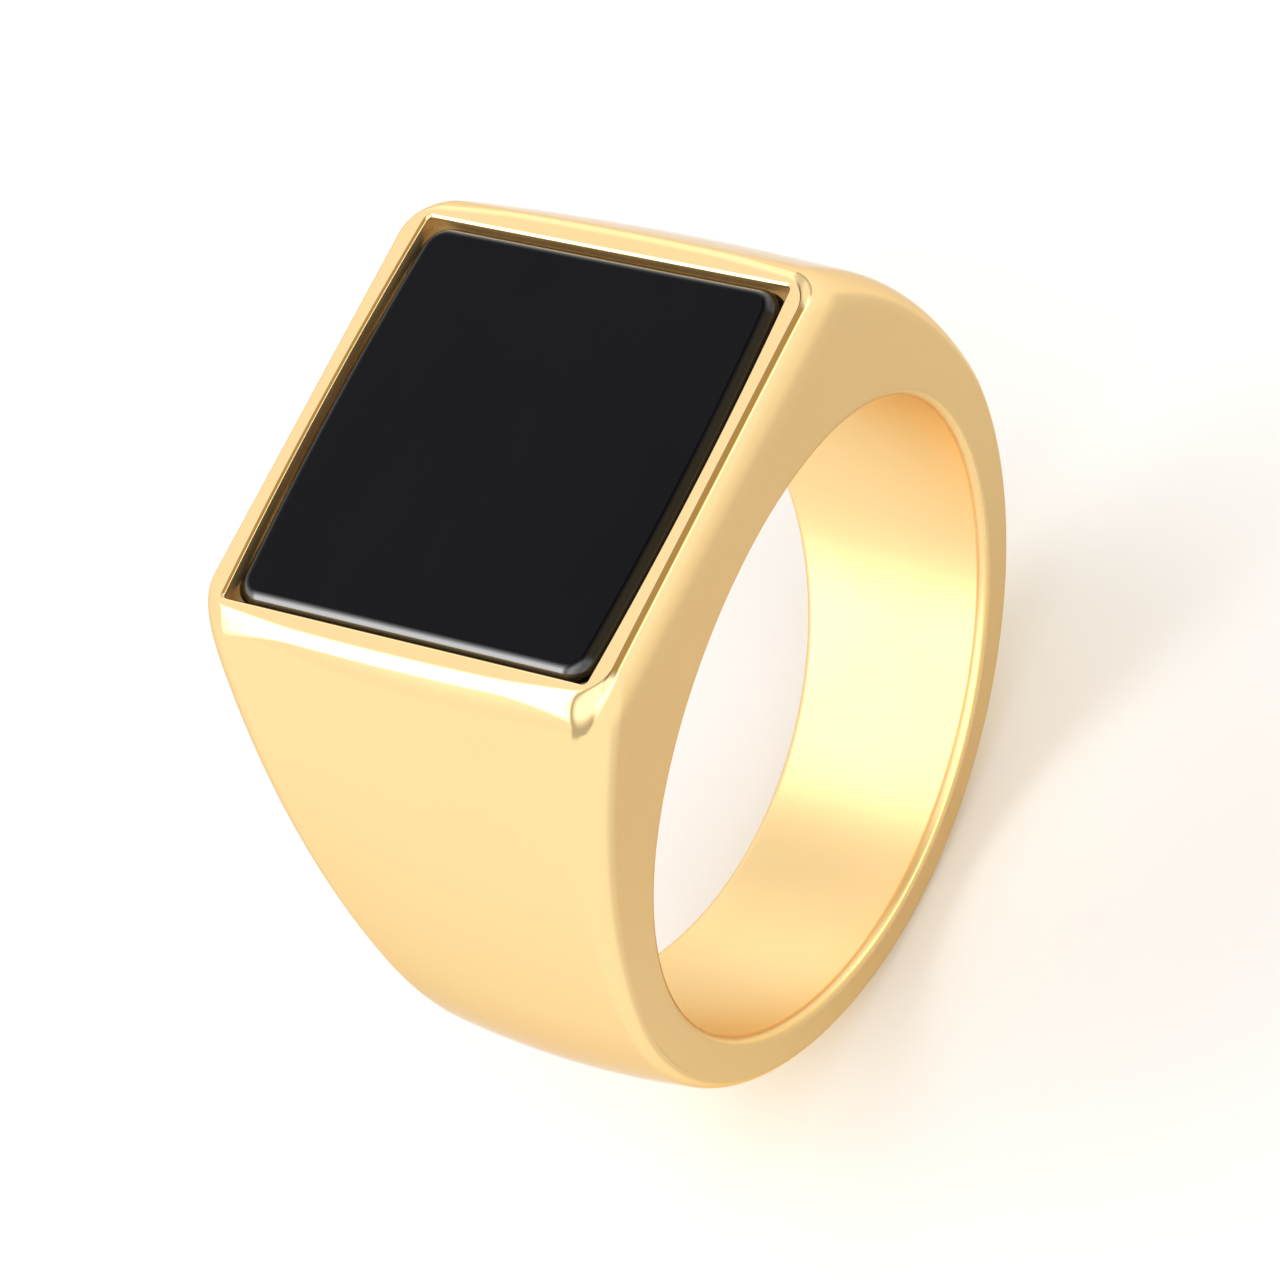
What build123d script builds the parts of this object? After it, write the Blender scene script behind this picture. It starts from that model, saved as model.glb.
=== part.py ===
"""Square-faced signet ring: a one-piece cast ring body, a flat black onyx tablet, and the adhesive bed under it.

Millimetres. The origin is the centre of the finger hole. The finger hole runs along Y, +Z goes up through
the middle of the square head, and X runs from one shoulder to the other.
"""

from build123d import *
import os
from math import cos, radians, sin

# Finger hole: a US size 10 ring measures 19.8 mm across inside
finger_hole_radius = 9.9
finger_edge_round = 0.33

# Side view (X-Z): the lower band is one arc, and each shoulder is an arc tangent to it that rises to the head
band_radius = 12.09
band_centre_z = 0.71
shoulder_join_angle = 5.6  # degrees above the band centre at which a shoulder leaves the band arc
head_top_z = 14.07
head_half_length = 7.45  # along X, to the sharp corner before rounding

# End view (Y-Z): the sides lean outward and flare a little towards the head
side_low_z, side_low_half_width = -12.0, 2.95
side_mid_z, side_mid_half_width = 0.0, 4.42
head_half_width = 7.62  # along Y at the head's top, to the sharp corner before rounding

# Rounding of the outside
corner_round = 0.6  # where the shoulders and the band meet the sides
rim_round = 0.48  # round the top of the head

# Rebate that holds the stone
recess_half_length = 6.7
recess_half_width = 6.7
recess_depth = 2.2
recess_corner_round = 0.15

# Stone tablet
stone_side_gap = 0.08
stone_below_rim = 0.02
adhesive_film = 0.16
stone_corner_round = 0.9
stone_edge_round = 0.4
stone_foot_chamfer = 0.2

# The adhesive rises part of the way up the gap around the stone
adhesive_below_rim = 0.45

block_reach = 15.0  # longer than the ring in every direction, for the two crossed extrusions


def band_point(angle):
    """A point of the band's outer arc in the X-Z view, at an angle in degrees above its centre."""
    return band_radius * cos(radians(angle)), band_centre_z + band_radius * sin(radians(angle))


join_x, join_z = band_point(shoulder_join_angle)
band_bottom = (0, band_centre_z - band_radius)
rise_x, rise_z = -sin(radians(shoulder_join_angle)), cos(radians(shoulder_join_angle))
recess_floor_z = head_top_z - recess_depth

# Ring body: the side view and the end view, each extruded right through and crossed
with BuildPart() as ring_body:
    with BuildSketch(Plane.XZ) as side_view:
        with BuildLine():
            ThreePointArc((-join_x, join_z), band_bottom, (join_x, join_z))
            TangentArc((join_x, join_z), (head_half_length, head_top_z), tangent=(rise_x, rise_z))
            Line((head_half_length, head_top_z), (-head_half_length, head_top_z))
            TangentArc((-join_x, join_z), (-head_half_length, head_top_z), tangent=(-rise_x, rise_z))
        make_face()
    extrude(amount=block_reach, both=True)

    with BuildSketch(Plane.YZ) as end_view:
        with BuildLine():
            Line((-side_low_half_width, side_low_z), (side_low_half_width, side_low_z))
            ThreePointArc(
                (side_low_half_width, side_low_z),
                (side_mid_half_width, side_mid_z),
                (head_half_width, head_top_z),
            )
            Line((head_half_width, head_top_z), (-head_half_width, head_top_z))
            ThreePointArc(
                (-head_half_width, head_top_z),
                (-side_mid_half_width, side_mid_z),
                (-side_low_half_width, side_low_z),
            )
        make_face()
    extrude(amount=block_reach, both=True, mode=Mode.INTERSECT)

    # the long edges down both shoulders and round the band, then the rim of the head
    head_top = ring_body.faces().sort_by(Axis.Z)[-1]
    across_ring = ring_body.edges().filter_by(Axis.Y)
    fillet(ring_body.edges() - head_top.edges() - across_ring, radius=corner_round)
    fillet(ring_body.faces().sort_by(Axis.Z)[-1].edges(), radius=rim_round)

    # finger hole with comfortable edges
    with BuildSketch(Plane.XZ) as finger_hole:
        Circle(finger_hole_radius)
    extrude(amount=block_reach, both=True, mode=Mode.SUBTRACT)
    hole_wall = ring_body.faces().filter_by(
        lambda face: face.geom_type == GeomType.CYLINDER and abs(face.radius - finger_hole_radius) < 0.001
    )
    hole_edges = hole_wall.edges() - hole_wall.edges().filter_by(Axis.Y)
    fillet(hole_edges, radius=finger_edge_round)

    # square rebate for the stone
    with BuildSketch(Plane.XY.offset(recess_floor_z)) as rebate:
        RectangleRounded(2 * recess_half_length, 2 * recess_half_width, recess_corner_round)
    extrude(amount=2 * recess_depth, mode=Mode.SUBTRACT)

ring_body.part.label = "ring_body"

# Stone: a flat tablet with rounded corners and a rolled upper edge
stone_height = recess_depth - stone_below_rim - adhesive_film
with BuildPart() as onyx_tablet:
    with BuildSketch(Plane.XY.offset(recess_floor_z + adhesive_film)) as stone_plan:
        RectangleRounded(
            2 * (recess_half_length - stone_side_gap),
            2 * (recess_half_width - stone_side_gap),
            stone_corner_round,
        )
    extrude(amount=stone_height)
    fillet(onyx_tablet.faces().sort_by(Axis.Z)[-1].edges(), radius=stone_edge_round)
    chamfer(onyx_tablet.faces().sort_by(Axis.Z)[0].edges(), length=stone_foot_chamfer)

onyx_tablet.part.label = "onyx_tablet"

# Adhesive: fills the rebate up to its own level, with the stone bedded in it
with BuildPart() as adhesive_bed:
    with BuildSketch(Plane.XY.offset(recess_floor_z)) as bed_plan:
        RectangleRounded(2 * recess_half_length, 2 * recess_half_width, recess_corner_round)
    extrude(amount=recess_depth - adhesive_below_rim)
    add(onyx_tablet.part, mode=Mode.SUBTRACT)

adhesive_bed.part.label = "adhesive_bed"

os.makedirs("parts", exist_ok=True)
for piece in (ring_body, onyx_tablet, adhesive_bed):
    export_step(piece.part, f"parts/{piece.part.label}.step")
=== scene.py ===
"""Looks of the signet ring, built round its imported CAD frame: polished gold-tone body, black onyx, epoxy."""

import math

import bpy
import numpy as np
from mathutils import Matrix, Vector


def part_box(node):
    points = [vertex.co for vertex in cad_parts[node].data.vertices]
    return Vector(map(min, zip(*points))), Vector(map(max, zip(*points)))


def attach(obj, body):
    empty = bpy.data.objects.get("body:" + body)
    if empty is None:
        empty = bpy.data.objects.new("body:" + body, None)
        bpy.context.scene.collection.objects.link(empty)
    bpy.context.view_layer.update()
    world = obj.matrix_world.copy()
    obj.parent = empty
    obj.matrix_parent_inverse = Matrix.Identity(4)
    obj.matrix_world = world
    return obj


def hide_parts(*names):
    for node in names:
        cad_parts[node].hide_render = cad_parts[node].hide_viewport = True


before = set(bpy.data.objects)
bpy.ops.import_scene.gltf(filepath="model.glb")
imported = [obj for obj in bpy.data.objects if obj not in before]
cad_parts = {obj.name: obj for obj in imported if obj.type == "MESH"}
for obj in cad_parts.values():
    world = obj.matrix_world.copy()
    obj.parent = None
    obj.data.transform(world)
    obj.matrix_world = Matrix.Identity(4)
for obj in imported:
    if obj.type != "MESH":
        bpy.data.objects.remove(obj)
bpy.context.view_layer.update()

MM = 0.001

# ---------------------------------------------------------------- dimensions, in millimetres
body_low, body_high = (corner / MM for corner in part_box("ring_body"))
stone_low, stone_high = (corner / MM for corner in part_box("onyx_tablet"))
bed_low, _ = (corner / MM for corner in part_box("adhesive_bed"))

HEAD_TOP = body_high.z
BAND_RADIUS = body_high.x
BAND_CENTRE = body_low.z + BAND_RADIUS
HOLE_RADIUS = 9.9
HOLE_EDGE_ROUND = 0.33

SHOULDER_JOIN = math.radians(5.6)
HEAD_HALF_LENGTH = 7.45
SIDE_ARC = ((2.95, -12.0), (4.42, 0.0), (7.7, HEAD_TOP))  # (half-width, height) of the leaning sides

CROWN_AT_HEAD = 0.14  # how far the middle of the shoulders and band stands out beyond their edges
CROWN_AT_EQUATOR = 0.23
CROWN_AT_BOTTOM = 0.19

RIM_WIDTH_AT_SHOULDER = 0.4  # how far the rim's rounding reaches in over the head's top
RIM_WIDTH_AT_SIDE = 0.56
RIM_FALL_AT_SHOULDER = 0.22  # how far it reaches down the wall
RIM_FALL_AT_SIDE = 2.2
CORNER_ROUND_AT_HEAD = 1.4
CORNER_ROUND_AT_EQUATOR = 0.45
CORNER_ROUND_AT_BOTTOM = 0.28

RECESS_HALF_LENGTH = 6.7
RECESS_HALF_WIDTH = 6.74
RECESS_BOW = 0.17  # how far the edges that face along Y bow outward in their middle
RECESS_FLOOR = bed_low.z
RECESS_CORNER_ROUND = 0.15
RECESS_EDGE_BREAK = 0.11

STONE_HALF_LENGTH = 6.63
STONE_HALF_WIDTH = 6.6
STONE_TOP = stone_high.z
STONE_CORNER_ROUND = 0.9
STONE_EDGE_ROUND = 0.44

SLOPE_STEP = 1e-4  # for slopes and normals that are taken by difference
EASE_POWER, EASE_REACH = 1.2, 1.2  # how a size changes with height, and how far past the ends it goes on
RIM_CHANGE_START, RIM_CHANGE_SPAN = 0.55, 1.6  # where round the wall the rim's rounding changes

# ---------------------------------------------------------------- camera, in degrees and millimetres
CAMERA_AZIMUTH, CAMERA_ELEVATION, CAMERA_ROLL = -30.07, 48.9, -39.21
CAMERA_AIM, CAMERA_DISTANCE = (0.43, 1.85, 1.58), 202.36
CAMERA_LENS, CAMERA_SENSOR = 188.5, 36.0

# ---------------------------------------------------------------- gold, as red, green and blue
GOLD = (0.970, 0.720, 0.370)
GOLD_DRIFT = (0.02, 0.03, 0.04)  # what the slow colour drift takes off
GOLD_PAINTED_SIDE_SHADE = (0.20, 0.145, 0.065)  # painted shade: what the two leaning sides take off, standing in for the shaded floor they reflect
GOLD_PAINTED_WARM_LOW = (0.0, 0.05, 0.18)  # painted warm reflected light: what the bottom of the band takes off, turning it a deeper yellow
ROUGHER_IN_HOLE = 0.32
ROUGHER_IN_RECESS = 0.45

# ---------------------------------------------------------------- strength of each part of the studio
DOME = 0.56
BACK_WALL = 0.5
FRONT_HORIZON = 1.2
STRIP_LAMP = 2.6
LEFT_FILL = 1.1
RIGHT_FILL = 0.5
BACK_FILL = 0.35
GAP_DEPTH = 0.8
GAP_HINGE, GAP_SWING = 0.33, 1.2  # left of the hinge the dark gap swings away
WARM_CARD = (0.16, 0.38, 0.7)  # what the card takes off red, green and blue


# ---------------------------------------------------------------- mesh building
def patch(surface, us, vs, facing=1):
    """Points and unit normals of surface(u, v) on a grid, as two arrays of (len(us), len(vs), 3)."""
    step = SLOPE_STEP
    u, v = np.meshgrid(us, vs, indexing="ij")
    along_u = surface(u + step, v) - surface(u - step, v)
    along_v = surface(u, v + step) - surface(u, v - step)
    normal = np.cross(along_u, along_v) * facing
    return surface(u, v), normal / np.linalg.norm(normal, axis=2, keepdims=True)


def stack(x, y, z):
    """A point array from its three coordinates, which may need spreading to one shape."""
    return np.stack(np.broadcast_arrays(x, y, z), axis=-1)


def mirrored_mesh(name, patches):
    """One closed smooth mesh from the patches of its quarter at +X and +Y, mirrored into the other three."""
    points, normals, quads = [], [], []
    start = 0
    for sign_x, sign_y in ((1, 1), (-1, 1), (-1, -1), (1, -1)):
        signs = np.array([sign_x, sign_y, 1.0])
        for grid, normal in patches:
            rows, columns = grid.shape[:2]
            index = start + np.arange(rows * columns).reshape(rows, columns)
            quad = np.stack([index[:-1, :-1], index[1:, :-1], index[1:, 1:], index[:-1, 1:]], axis=-1)
            quad = quad.reshape(-1, 4)
            woven = np.cross(grid[1:, 1:] - grid[:-1, :-1], grid[:-1, 1:] - grid[1:, :-1])
            outward = np.sum(woven * normal[:-1, :-1]) * sign_x * sign_y > 0
            quads.append(quad if outward else quad[:, ::-1])
            points.append((grid * signs).reshape(-1, 3))
            normals.append((normal * signs).reshape(-1, 3))
            start += rows * columns
    points, normals, quads = np.concatenate(points), np.concatenate(normals), np.concatenate(quads)
    merge_grid, merge_offset = 1e-4, 3.7e-5
    _, first, index = np.unique(
        np.round((points + merge_offset) / merge_grid).astype(np.int64),
        axis=0, return_index=True, return_inverse=True,
    )
    index = index.ravel()
    merged = np.zeros((len(first), 3))
    np.add.at(merged, index, normals)
    merged /= np.linalg.norm(merged, axis=1, keepdims=True)
    faces = []
    for quad in index[quads]:
        corners = [int(c) for c in dict.fromkeys(quad)]
        if len(corners) > 2:
            faces.append(corners)
    mesh = bpy.data.meshes.new(name)
    mesh.from_pydata((points[first] * MM).tolist(), [], faces)
    mesh.shade_smooth()
    mesh.normals_split_custom_set_from_vertices(merged.tolist())
    piece = bpy.data.objects.new(name, mesh)
    bpy.context.scene.collection.objects.link(piece)
    return piece


def circle_through(points):
    """Centre and radius of the circle through three (across, height) points."""
    (ax, az), (bx, bz), (cx, cz) = points
    system = np.array([[bx - ax, bz - az], [cx - ax, cz - az]]) * 2
    right = np.array([bx**2 + bz**2 - ax**2 - az**2, cx**2 + cz**2 - ax**2 - az**2])
    centre = np.linalg.solve(system, right)
    return centre, math.hypot(ax - centre[0], az - centre[1])


SIDE_CENTRE, SIDE_RADIUS = circle_through(SIDE_ARC)
SIDE_BEND = 1 if SIDE_CENTRE[0] < 0 else -1


def side(z):
    """Half-width of the ring between its leaning sides at height z."""
    return SIDE_CENTRE[0] + SIDE_BEND * np.sqrt(SIDE_RADIUS**2 - (z - SIDE_CENTRE[1]) ** 2)


def shoulder_arc():
    """Centre and radius of the arc that leaves the band and rises to the head's edge."""
    out = np.array([math.cos(SHOULDER_JOIN), math.sin(SHOULDER_JOIN)])
    join = np.array([0, BAND_CENTRE]) + BAND_RADIUS * out
    chord = np.array([HEAD_HALF_LENGTH, HEAD_TOP]) - join
    radius = -chord @ chord / (2 * chord @ out)
    return join - radius * out, radius, join[1]


SHOULDER_CENTRE, SHOULDER_RADIUS, SHOULDER_START = shoulder_arc()


def shoulder(z):
    """Half-length of the ring over its shoulders at height z, from the band's centre height up."""
    on_arc = SHOULDER_CENTRE[0] + np.sqrt(SHOULDER_RADIUS**2 - (z - SHOULDER_CENTRE[1]) ** 2)
    on_band = np.sqrt(np.maximum(BAND_RADIUS**2 - (z - BAND_CENTRE) ** 2, 0))
    return np.where(z > SHOULDER_START, on_arc, on_band)


def eased(z, at_head, at_equator, at_bottom):
    """A size that changes smoothly with height, from the head past the equator to the bottom."""
    up = np.clip((z - BAND_CENTRE) / (HEAD_TOP - BAND_CENTRE), 0, EASE_REACH)
    down = np.clip((BAND_CENTRE - z) / BAND_RADIUS, 0, EASE_REACH)
    towards_head = (at_head - at_equator) * up**EASE_POWER
    return at_equator + towards_head + (at_bottom - at_equator) * down**EASE_POWER


def corner_round(z):
    """Rounding of the long edge between a shoulder and a side: soft at the head, crisper below."""
    return eased(z, CORNER_ROUND_AT_HEAD, CORNER_ROUND_AT_EQUATOR, CORNER_ROUND_AT_BOTTOM)


def crown(z):
    """How far the middle of the outer surface stands out beyond its edges at this height."""
    return eased(z, CROWN_AT_HEAD, CROWN_AT_EQUATOR, CROWN_AT_BOTTOM)


def crown_lean(rise, edge, round_):
    """Angle of the crowned surface where it meets the rounding of its long edge."""
    lean = np.arctan(2 * rise / edge)
    return np.arctan(2 * rise / (edge + round_ * np.sin(lean)))


def wall_point(way, z):
    """A point of the outer wall at height z.

    way runs 0 to 1 from the middle of a shoulder to its edge, to 2 round the corner, and to 3 along the side.
    """
    round_, rise = corner_round(z), crown(z)
    edge = side(z) - round_
    lean = crown_lean(rise, edge, round_)
    across = np.clip(way, 0, 1)
    turn = lean + (math.pi / 2 - lean) * np.clip(way - 1, 0, 1)
    end = shoulder(z) - rise - round_ * np.cos(lean)
    x = np.where(way < 1, shoulder(z) - rise * across**2, end + round_ * np.cos(turn))
    y = np.where(way < 1, (edge + round_ * np.sin(lean)) * across, edge + round_ * np.sin(turn))
    return stack(x * np.clip(3 - way, 0, 1), y, z)


def wall_normal(way, z):
    """The outward unit normal of the wall."""
    step = SLOPE_STEP
    around = np.where(way < 3 - step, step, 0)
    back = np.where(way > step, step, 0)
    along = wall_point(way + around, z) - wall_point(way - back, z)
    rise = wall_point(way, z + step) - wall_point(way, z - step)
    normal = np.cross(along, rise)
    return normal / np.linalg.norm(normal, axis=-1, keepdims=True)


def along_rim(way, at_shoulder, at_side):
    """A size of the rim's rounding, which changes smoothly from the shoulders to the sides."""
    share = np.clip((way - RIM_CHANGE_START) / RIM_CHANGE_SPAN, 0, 1)
    return at_shoulder + (at_side - at_shoulder) * share**2 * (3 - 2 * share)


def rim_fall(way):
    """How far below the head's top the rim's rounding starts."""
    return along_rim(way, RIM_FALL_AT_SHOULDER, RIM_FALL_AT_SIDE)


def rim_point(way, share):
    """A point of the rim's rounding, which runs from the wall, at share 0, to the head's flat land, at 1."""
    foot = wall_point(way, HEAD_TOP - rim_fall(way))
    corner = wall_point(way, np.full(np.shape(way), HEAD_TOP))
    normal = wall_normal(np.clip(way, 0, 3), HEAD_TOP)
    level = np.hypot(normal[..., 0], normal[..., 1])
    width = along_rim(way, RIM_WIDTH_AT_SHOULDER, RIM_WIDTH_AT_SIDE) / level
    top = corner - stack(normal[..., 0] * width, normal[..., 1] * width, 0)
    share = np.asarray(share)[..., None]
    return (1 - share) ** 2 * foot + 2 * share * (1 - share) * corner + share**2 * top


ACROSS = 26  # spans from the middle of a shoulder, or of a side, to its corner
ROUND_CORNER = 14  # spans round a corner
DOWN = 56  # spans from the head to the band's centre height
UNDER = 64  # spans from there to the bottom
ROUND_RIM = 12
ROUND_HOLE_EDGE = 8
SIDE_SPANS = 22
HOLE_SPANS = 14
WAY = np.concatenate(
    [
        np.linspace(0, 1, ACROSS + 1),
        np.linspace(1, 2, ROUND_CORNER + 1)[1:],
        np.linspace(2, 3, ACROSS + 1)[1:],
    ]
)
TO_CORNER, PAST_CORNER = ACROSS, ACROSS + ROUND_CORNER


def shoulder_patches():
    """The outer wall from the rim to the band's centre height: crowned half and rounded corner."""

    def surface(down, way):
        top = HEAD_TOP - rim_fall(way)
        return wall_point(way, top + (BAND_CENTRE - top) * down)

    patches = []
    for ways in (WAY[: TO_CORNER + 1], WAY[TO_CORNER : PAST_CORNER + 1]):
        down, way = np.meshgrid(np.linspace(0, 1, DOWN + 1), ways, indexing="ij")
        points = surface(down, way)
        inner = np.clip(way, ways[0] + 1e-3, ways[-1] - 1e-3)
        patches.append((points, wall_normal(inner, points[..., 2])))
    return patches


def edge_section(radius, round_, centre_height, hollow, angle, turn, rise=0.0):
    """Distance out and half-width on the rounded edge between a cylinder along Y and the leaning side.

    turn runs 0, on the cylinder, to 1, on the side. hollow is -1 for the finger hole and 1 for the band.
    The band's middle stands out by rise beyond its edges.
    """
    mid = radius - hollow * round_
    z = centre_height + mid * np.sin(angle)
    step = SLOPE_STEP
    slope = (side(z + step) - side(z - step)) / (2 * step) * np.sin(angle)
    y_mid = side(z) - round_ * np.sqrt(1 + slope**2)
    end = np.arctan2(1, -slope)
    lean = crown_lean(rise, y_mid, round_)
    start = lean if hollow > 0 else math.pi
    swing = start + (end - start) * turn
    out = radius - rise - hollow * round_ * np.cos(lean)
    return out + round_ * np.cos(swing), y_mid + round_ * np.sin(swing)


def band_patches():
    """The outer wall from the band's centre height to its bottom."""

    def section(angle, turn):
        low = BAND_CENTRE + BAND_RADIUS * np.sin(angle)
        return edge_section(BAND_RADIUS, corner_round(low), BAND_CENTRE, 1, angle, turn, crown(low))

    def middle(down, across):
        angle = -down
        _, y = section(angle, np.zeros_like(angle))
        reach = BAND_RADIUS - crown(BAND_CENTRE + BAND_RADIUS * np.sin(angle)) * across**2
        return stack(reach * np.cos(angle), y * across, BAND_CENTRE + reach * np.sin(angle))

    def corner(down, turn):
        reach, y = section(-down, turn)
        return stack(reach * np.cos(down), y, BAND_CENTRE - reach * np.sin(down))

    downs = np.linspace(0, math.pi / 2, UNDER + 1)
    return [
        patch(middle, downs, np.linspace(0, 1, ACROSS + 1)),
        patch(corner, downs, np.linspace(0, 1, ROUND_CORNER + 1)),
    ]


def side_patches(outline):
    """The leaning side from its outline in to the finger hole, then the hole's edge and its wall."""
    angles = np.arctan2(outline[:, 2], outline[:, 0])
    reach, _ = edge_section(HOLE_RADIUS, HOLE_EDGE_ROUND, 0.0, -1, angles, 1.0)
    inward = np.linspace(0, 1, SIDE_SPANS + 1)[None, :]
    x = outline[:, :1] * (1 - inward) + (reach * np.cos(angles))[:, None] * inward
    z = outline[:, 2:] * (1 - inward) + (reach * np.sin(angles))[:, None] * inward
    step = SLOPE_STEP
    slope = (side(z + step) - side(z - step)) / (2 * step)
    normal = stack(0 * z, 1 + 0 * z, -slope)
    face = stack(x, side(z), z), normal / np.linalg.norm(normal, axis=2, keepdims=True)

    def edge(angle, turn):
        out, y = edge_section(HOLE_RADIUS, HOLE_EDGE_ROUND, 0.0, -1, angle, 1 - turn)
        return stack(out * np.cos(angle), y, out * np.sin(angle))

    def wall(angle, across):
        _, y = edge_section(HOLE_RADIUS, HOLE_EDGE_ROUND, 0.0, -1, angle, np.zeros_like(angle))
        return stack(HOLE_RADIUS * np.cos(angle), y * (1 - across), HOLE_RADIUS * np.sin(angle))

    return [
        face,
        patch(edge, angles, np.linspace(0, 1, ROUND_HOLE_EDGE + 1), facing=-1),
        patch(wall, angles, np.linspace(0, 1, HOLE_SPANS + 1), facing=-1),
    ]


def plan_loop(half_length, half_width, bow, round_):
    """Quarter outline, along WAY, of a rounded rectangle whose Y-facing edges bow outward."""
    lean = math.atan(2 * bow / (half_length - round_))
    centre_x, centre_y = half_length - round_, half_width - bow - round_ * math.cos(lean)
    end_x = centre_x + round_ * math.sin(lean)
    turn = (math.pi / 2 - lean) * np.clip(WAY - 1, 0, 1)
    along = np.clip(3 - WAY, 0, 1)
    to_corner = WAY <= 2
    x = np.where(to_corner, centre_x + round_ * np.cos(turn), end_x * along)
    y = np.where(
        to_corner, centre_y * np.clip(WAY, 0, 1) + round_ * np.sin(turn), half_width - bow * along**2
    )
    outward_x = np.where(to_corner, np.cos(turn), math.sin(lean) * along)
    outward = np.stack([outward_x, np.where(to_corner, np.sin(turn), 1.0)], axis=-1)
    return x, y, outward / np.linalg.norm(outward, axis=-1, keepdims=True)


def loop_patch(plan, rows):
    """A patch round a quarter outline. plan(grow) is the outline; rows hold (grow, height, normal's lift)."""
    points, normals = [], []
    for grow, z, lift in rows:
        x, y, outward = plan(grow)
        points.append(stack(x, y, z))
        normals.append(stack(outward[:, 0] * math.cos(lift), outward[:, 1] * math.cos(lift), math.sin(lift)))
    return np.stack(points, axis=1), np.stack(normals, axis=1)


def cap(loop, facing):
    """A flat patch that fills a quarter outline in to its middle."""
    share = np.linspace(1, 0, 9)[None, :, None]
    grid = loop[:, None] * np.concatenate([share, share, share**0], axis=2)
    return grid, np.broadcast_to(np.array([0, 0, float(facing)]), grid.shape)


def recess_plan(grow):
    return plan_loop(
        RECESS_HALF_LENGTH + grow, RECESS_HALF_WIDTH + grow, RECESS_BOW, RECESS_CORNER_ROUND + grow
    )


def rim_patches():
    """The rim's rounding, the flat land round the stone, and the walls and floor of the rebate."""
    rounding = patch(rim_point, WAY, np.linspace(0, 1, ROUND_RIM + 1))
    upright = np.array([0, 0, 1.0])
    inner_x, inner_y, _ = recess_plan(RECESS_EDGE_BREAK)
    inner, outer = stack(inner_x, inner_y, HEAD_TOP), rounding[0][:, -1]
    inward = np.linspace(0, 1, 4)[None, :, None]
    land = outer[:, None] * (1 - inward) + inner[:, None] * inward
    flat = land, np.broadcast_to(upright, land.shape)

    edge = [
        (RECESS_EDGE_BREAK * (1 + math.cos(a)), HEAD_TOP - RECESS_EDGE_BREAK * (1 - math.sin(a)), a)
        for a in np.linspace(math.pi / 2, math.pi, 9)
    ]
    wall = [(0.0, z, math.pi) for z in np.linspace(HEAD_TOP - RECESS_EDGE_BREAK, RECESS_FLOOR, 7)]
    floor_x, floor_y, _ = recess_plan(0.0)
    floor = cap(stack(floor_x, floor_y, RECESS_FLOOR), 1)
    return [rounding, flat, loop_patch(recess_plan, edge), loop_patch(recess_plan, wall), floor]


def build_ring_body():
    """The casting: shoulders, band, sides, finger hole, and the rim with its rebate."""
    shoulders, bands, rims = shoulder_patches(), band_patches(), rim_patches()
    outline = np.concatenate(
        [rims[0][0][PAST_CORNER:, 0][::-1], shoulders[1][0][1:, -1], bands[1][0][1:, -1]]
    )
    return mirrored_mesh("ring_casting", shoulders + bands + side_patches(outline) + rims)


def stone_plan(grow):
    return plan_loop(
        STONE_HALF_LENGTH + grow, STONE_HALF_WIDTH + grow, RECESS_BOW, STONE_CORNER_ROUND + grow
    )


def build_stone():
    """The onyx tablet, with rounded corners, a rolled upper edge and a flat polished top."""
    top, low = STONE_TOP, stone_low.z
    roll = [
        (STONE_EDGE_ROUND * (math.cos(a) - 1), top - STONE_EDGE_ROUND * (1 - math.sin(a)), a)
        for a in np.linspace(math.pi / 2, 0, 17)
    ]
    wall = [(0.0, z, 0.0) for z in np.linspace(top - STONE_EDGE_ROUND, low, 5)]
    top_x, top_y, _ = stone_plan(-STONE_EDGE_ROUND)
    low_x, low_y, _ = stone_plan(0.0)
    return mirrored_mesh(
        "onyx_stone",
        [
            cap(stack(top_x, top_y, top), 1),
            loop_patch(stone_plan, roll),
            loop_patch(stone_plan, wall),
            cap(stack(low_x, low_y, low), -1),
        ],
    )


# ---------------------------------------------------------------- node trees
class Field:
    """A number that varies over a surface or a sky, written with ordinary arithmetic."""

    def __init__(self, tree, socket):
        self.tree, self.socket = tree, socket

    def math(self, operation, *others, clamp=False):
        node = self.tree.nodes.new("ShaderNodeMath")
        node.operation, node.use_clamp = operation, clamp
        for slot, value in enumerate((self, *others)):
            if isinstance(value, Field):
                self.tree.links.new(value.socket, node.inputs[slot])
            else:
                node.inputs[slot].default_value = value
        return Field(self.tree, node.outputs[0])

    def __add__(self, other):
        return self.math("ADD", other)

    def __sub__(self, other):
        return self.math("SUBTRACT", other)

    def __mul__(self, other):
        return self.math("MULTIPLY", other)

    def ease(self, start, end, low=0.0, high=1.0):
        """Smoothly low before start and high past end."""
        node = self.tree.nodes.new("ShaderNodeMapRange")
        node.interpolation_type = "SMOOTHSTEP"
        self.tree.links.new(self.socket, node.inputs["Value"])
        names = ("From Min", "From Max", "To Min", "To Max")
        if start > end:
            start, end, low, high = end, start, high, low
        for name, value in zip(names, (start, end, low, high)):
            node.inputs[name].default_value = value
        return Field(self.tree, node.outputs[0])

    def colours(self, stops):
        """A colour for each position, from (position, red, green, blue) stops."""
        node = self.tree.nodes.new("ShaderNodeValToRGB")
        ramp = node.color_ramp
        while len(ramp.elements) < len(stops):
            ramp.elements.new(0.5)
        for element, (position, *colour) in zip(ramp.elements, stops):
            element.position, element.color = position, (*colour, 1)
        self.tree.links.new(self.socket, node.inputs[0])
        return node.outputs[0]


def components(tree, coordinate):
    """The three parts of a texture coordinate, as fields."""
    node = tree.nodes.new("ShaderNodeTexCoord")
    split = tree.nodes.new("ShaderNodeSeparateXYZ")
    tree.links.new(node.outputs[coordinate], split.inputs[0])
    return [Field(tree, socket) for socket in split.outputs]


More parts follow.
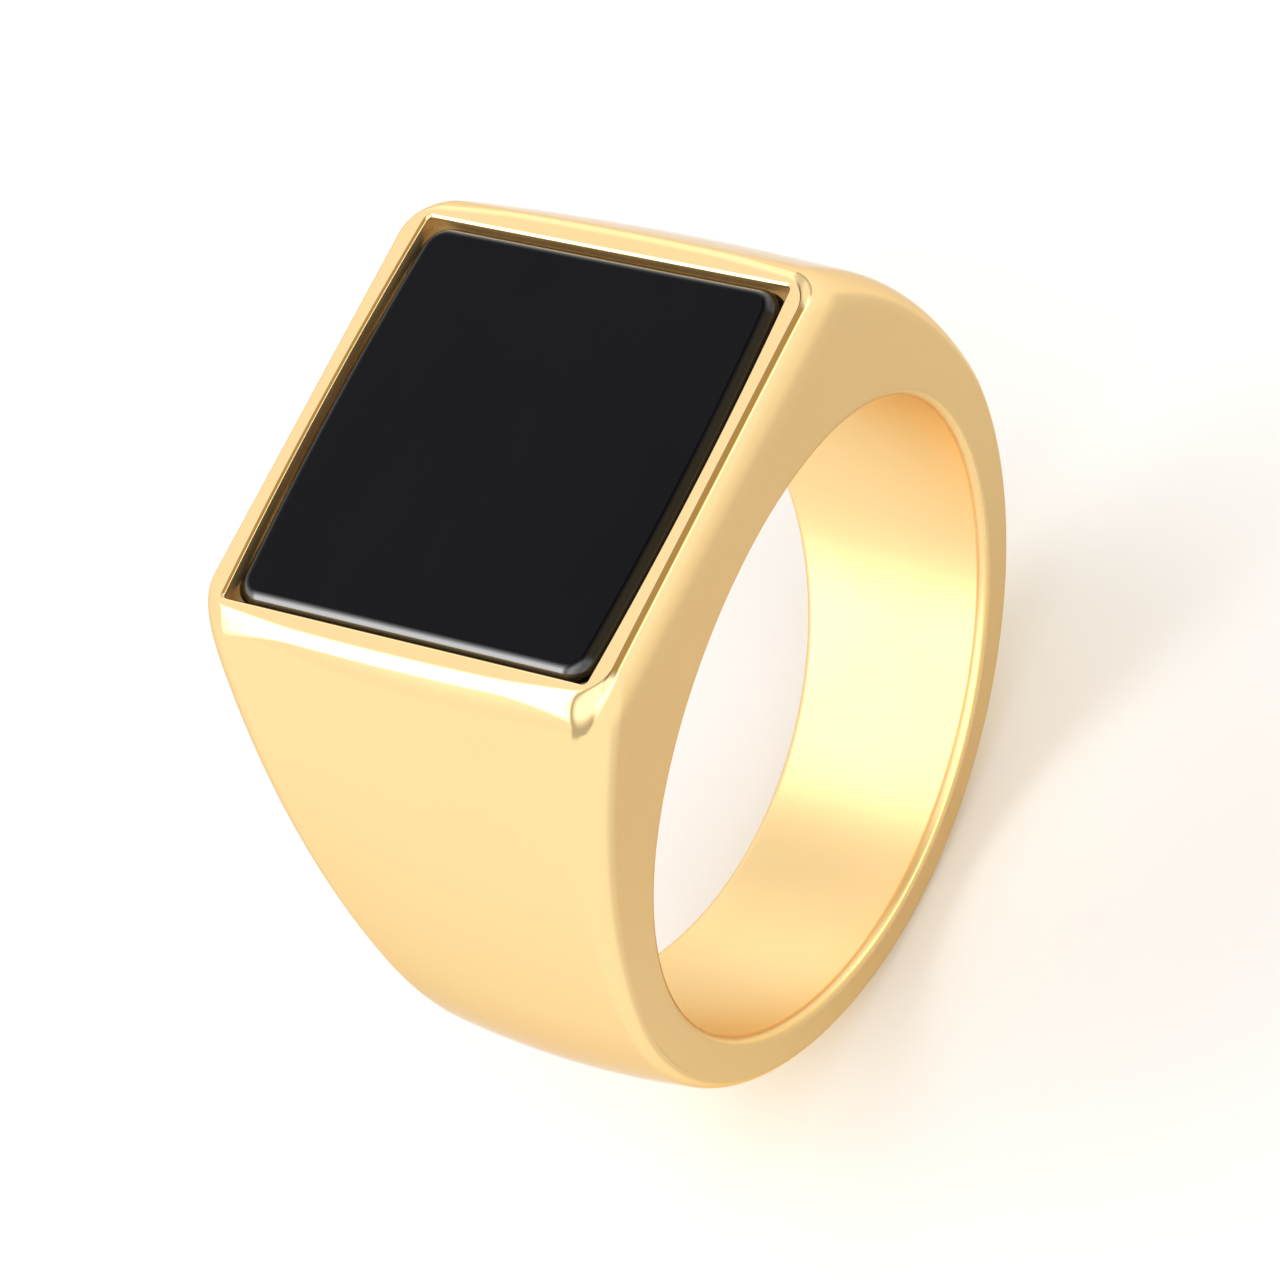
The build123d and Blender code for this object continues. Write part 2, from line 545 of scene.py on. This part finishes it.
def colour_of(tree, red, green, blue):
    """A colour from its three parts."""
    node = tree.nodes.new("ShaderNodeCombineColor")
    for part, slot in zip((red, green, blue), node.inputs):
        tree.links.new(part.socket, slot)
    return node.outputs[0]


def noise(tree, scale, detail=3.0, stretch=(1, 1, 1)):
    """Smooth random variation between 0 and 1 over the object, at scale per metre."""
    place = tree.nodes.new("ShaderNodeTexCoord")
    mapping = tree.nodes.new("ShaderNodeMapping")
    mapping.inputs["Scale"].default_value = stretch
    texture = tree.nodes.new("ShaderNodeTexNoise")
    texture.inputs["Scale"].default_value = scale
    texture.inputs["Detail"].default_value = detail
    tree.links.new(place.outputs["Object"], mapping.inputs[0])
    tree.links.new(mapping.outputs[0], texture.inputs["Vector"])
    return Field(tree, texture.outputs[0])


def bump(tree, shader, height, distance):
    """Relief of the given depth, in metres, under the shader."""
    node = tree.nodes.new("ShaderNodeBump")
    node.inputs["Distance"].default_value = distance
    tree.links.new(height.socket, node.inputs["Height"])
    tree.links.new(node.outputs[0], shader.inputs["Normal"])


# ---------------------------------------------------------------- materials
def new_material(name):
    """A node material, its tree and its Principled shader."""
    material = bpy.data.materials.new(name)
    material.use_nodes = True
    return material, material.node_tree, material.node_tree.nodes["Principled BSDF"]


def gold_material():
    """Polished gold-tone plating: faint colour drift, uneven polish and the finest buffing marks, with painted
    shade on the leaning sides and painted warm reflected light low on the band.
    """
    material, tree, shader = new_material("gold_tone_plating")
    shader.inputs["Metallic"].default_value = 1.0
    shader.inputs["Specular Tint"].default_value = (0.80, 0.70, 0.56, 1)
    across, along, up = components(tree, "Object")
    _, sideways, _ = components(tree, "Normal")
    from_axis = (across * across + up * up).math("SQRT")
    in_hole = from_axis.ease((HOLE_RADIUS + 0.25) * MM, (HOLE_RADIUS + 0.05) * MM)
    below_rim = up.ease((HEAD_TOP - 0.7) * MM, (HEAD_TOP - 1.5) * MM)
    # Painted shade: the leaning sides below the rim are darkened in base colour, standing in for the shaded
    # floor they reflect.
    painted_side_shade = sideways.math("ABSOLUTE").ease(0.86, 0.96) * below_rim
    # Painted warm reflected light: the bottom of the band, away from the hole and the sides, is a deeper
    # yellow in base colour, standing in for warm light reflected between band and floor.
    low = up.ease(-2.0 * MM, -8.5 * MM) * (in_hole * -1.0 + 1.0) * (painted_side_shade * -1.0 + 1.0)
    from_middle = across.math("ABSOLUTE").math("MAXIMUM", along.math("ABSOLUTE"))
    above_floor = up.ease((RECESS_FLOOR - 0.3) * MM, (RECESS_FLOOR - 0.1) * MM)
    below_top = up.ease(HEAD_TOP * MM, (HEAD_TOP - 0.15) * MM)
    within_walls = from_middle.ease((RECESS_HALF_WIDTH + 0.2) * MM, (RECESS_HALF_WIDTH + 0.08) * MM)
    in_recess = within_walls * (above_floor * below_top)
    drift = noise(tree, 90, 2)
    channels = [
        drift * -drifting - painted_side_shade * side_shade_taken - low * warm_light_taken + plain
        for plain, drifting, side_shade_taken, warm_light_taken in zip(GOLD, GOLD_DRIFT, GOLD_PAINTED_SIDE_SHADE, GOLD_PAINTED_WARM_LOW)
    ]
    tree.links.new(colour_of(tree, *channels), shader.inputs["Base Color"])
    buffing = noise(tree, 900, 4, stretch=(1, 0.12, 1))
    haze = noise(tree, 260, 2)
    polish = haze.ease(0.35, 0.75, 0.045, 0.085) + buffing * 0.012
    polish = polish + in_hole * ROUGHER_IN_HOLE + in_recess * ROUGHER_IN_RECESS
    tree.links.new(polish.socket, shader.inputs["Roughness"])
    bump(tree, shader, buffing, 2.0e-7)
    return material


def stone_material():
    """Polished black onyx, with the faintest clouding and hairline marks."""
    material, tree, shader = new_material("black_onyx")
    cloud = noise(tree, 160, 3, stretch=(1, 2.2, 1))
    clouding = cloud.colours([(0.35, 0.0014, 0.0016, 0.0026), (0.75, 0.0026, 0.0028, 0.0044)])
    tree.links.new(clouding, shader.inputs["Base Color"])
    hairlines = noise(tree, 2400, 2, stretch=(0.05, 1, 1))
    tree.links.new(hairlines.ease(0.3, 0.8, 0.02, 0.06).socket, shader.inputs["Roughness"])
    shader.inputs["Specular IOR Level"].default_value = 0.09
    shader.inputs["Coat IOR"].default_value = 2.3
    shader.inputs["Coat Roughness"].default_value = 0.17
    _, sideways, up = components(tree, "Normal")
    glint = up.ease(0.84, 0.995, 1.0, 0.0) * sideways.math("ABSOLUTE").ease(0.15, 0.55, 1.0, 0.35)
    tree.links.new(glint.socket, shader.inputs["Coat Weight"])
    bump(tree, shader, hairlines, 3.0e-8)
    return material


def epoxy_material():
    """The dark set adhesive at the foot of the rebate."""
    material, tree, shader = new_material("cured_epoxy")
    tint = noise(tree, 700, 3)
    tree.links.new(
        tint.colours([(0.3, 0.27, 0.17, 0.06), (0.7, 0.36, 0.24, 0.09)]), shader.inputs["Base Color"]
    )
    tree.links.new(tint.ease(0.2, 0.8, 0.2, 0.4).socket, shader.inputs["Roughness"])
    bump(tree, shader, tint, 2.0e-5)
    return material


# ---------------------------------------------------------------- stage
def build_floor(z):
    """A plain pale floor, far larger than the view."""
    size = 3.0
    mesh = bpy.data.meshes.new("floor")
    corners = [(-size, -size, z), (size, -size, z), (size, size, z), (-size, size, z)]
    mesh.from_pydata(corners, [], [(0, 1, 2, 3)])
    floor = bpy.data.objects.new("floor", mesh)
    bpy.context.scene.collection.objects.link(floor)
    material, _, shader = new_material("pale_floor")
    shader.inputs["Base Color"].default_value = (0.9, 0.9, 0.9, 1)
    shader.inputs["Roughness"].default_value = 0.9
    shader.inputs["Specular IOR Level"].default_value = 0.0
    mesh.materials.append(material)


def build_light():
    """A soft studio dome: a strip lamp behind and to the left, fills and a bright front horizon."""
    world = bpy.data.worlds.new("studio")
    world.use_nodes = True
    bpy.context.scene.world = world
    tree = world.node_tree
    x, y, z = components(tree, "Generated")
    back_wall = y.ease(0.36, 0.44, 0.0, BACK_WALL)
    past_corner = y - (x.math("MINIMUM", GAP_HINGE) - GAP_HINGE) * GAP_SWING
    gap = past_corner.ease(0.22, 0.30) * past_corner.ease(0.44, 0.36) * z.ease(0.5, 0.7)
    front_horizon = z.ease(0.5, 0.2) * y.ease(-0.4, -0.7)
    strip_lamp = y.ease(0.42, 0.52) * y.ease(0.76, 0.64) * x.ease(0.12, -0.06) * z.ease(0.0, 0.24)
    left_fill = x.ease(0.15, -0.15) * y.ease(0.36, 0.1) * z.ease(0.05, 0.3)
    right_fill = x.ease(0.5, 0.7) * y.ease(0.3, 0.0, 0.0, RIGHT_FILL) * z.ease(0.02, 0.2)
    back_fill = x.ease(0.5, 0.7) * y.ease(0.1, 0.4) * z.ease(0.02, 0.2)
    light = (back_wall + front_horizon * FRONT_HORIZON + DOME) * (gap * -GAP_DEPTH + 1.0)
    light = light + strip_lamp * STRIP_LAMP + left_fill * LEFT_FILL + right_fill + back_fill * BACK_FILL
    card_width = x.ease(0.12, 0.24) * x.ease(0.55, 0.44)
    warm_card = card_width * y.ease(0.24, 0.1) * y.ease(-0.95, -0.8) * z.ease(0.2, 0.4)
    channels = [light * (warm_card * -taken + 1.0) for taken in WARM_CARD]
    background = tree.nodes["Background"]
    tree.links.new(colour_of(tree, *channels), background.inputs["Color"])
    background.inputs["Strength"].default_value = 1.0


def build_camera():
    """The view from above one corner of the head, rolled so that the ring leans left."""
    azimuth, elevation = math.radians(CAMERA_AZIMUTH), math.radians(CAMERA_ELEVATION)
    aim, distance = Vector(CAMERA_AIM) * MM, CAMERA_DISTANCE * MM
    camera = bpy.data.cameras.new("camera")
    camera.lens, camera.sensor_width = CAMERA_LENS, CAMERA_SENSOR
    camera.clip_start, camera.clip_end = 0.01, 10.0
    holder = bpy.data.objects.new("camera", camera)
    bpy.context.scene.collection.objects.link(holder)
    level = math.cos(elevation)
    back = Vector((math.sin(azimuth) * level, -math.cos(azimuth) * level, math.sin(elevation)))
    roll = Matrix.Rotation(math.radians(CAMERA_ROLL), 3, "Z")
    facing = (-back).to_track_quat("-Z", "Y").to_matrix() @ roll
    holder.matrix_world = Matrix.Translation(aim + back * distance) @ facing.to_4x4()
    bpy.context.scene.camera = holder


# ---------------------------------------------------------------- put together
body = build_ring_body()
body.data.materials.append(gold_material())
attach(body, "root")
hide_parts("ring_body")

stone = build_stone()
stone.data.materials.append(stone_material())
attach(stone, "root")
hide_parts("onyx_tablet")

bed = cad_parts["adhesive_bed"]
bed.data.materials.clear()
bed.data.materials.append(epoxy_material())

build_floor(body_low.z * MM)
build_light()
build_camera()
bpy.context.scene.view_settings.view_transform = "Standard"
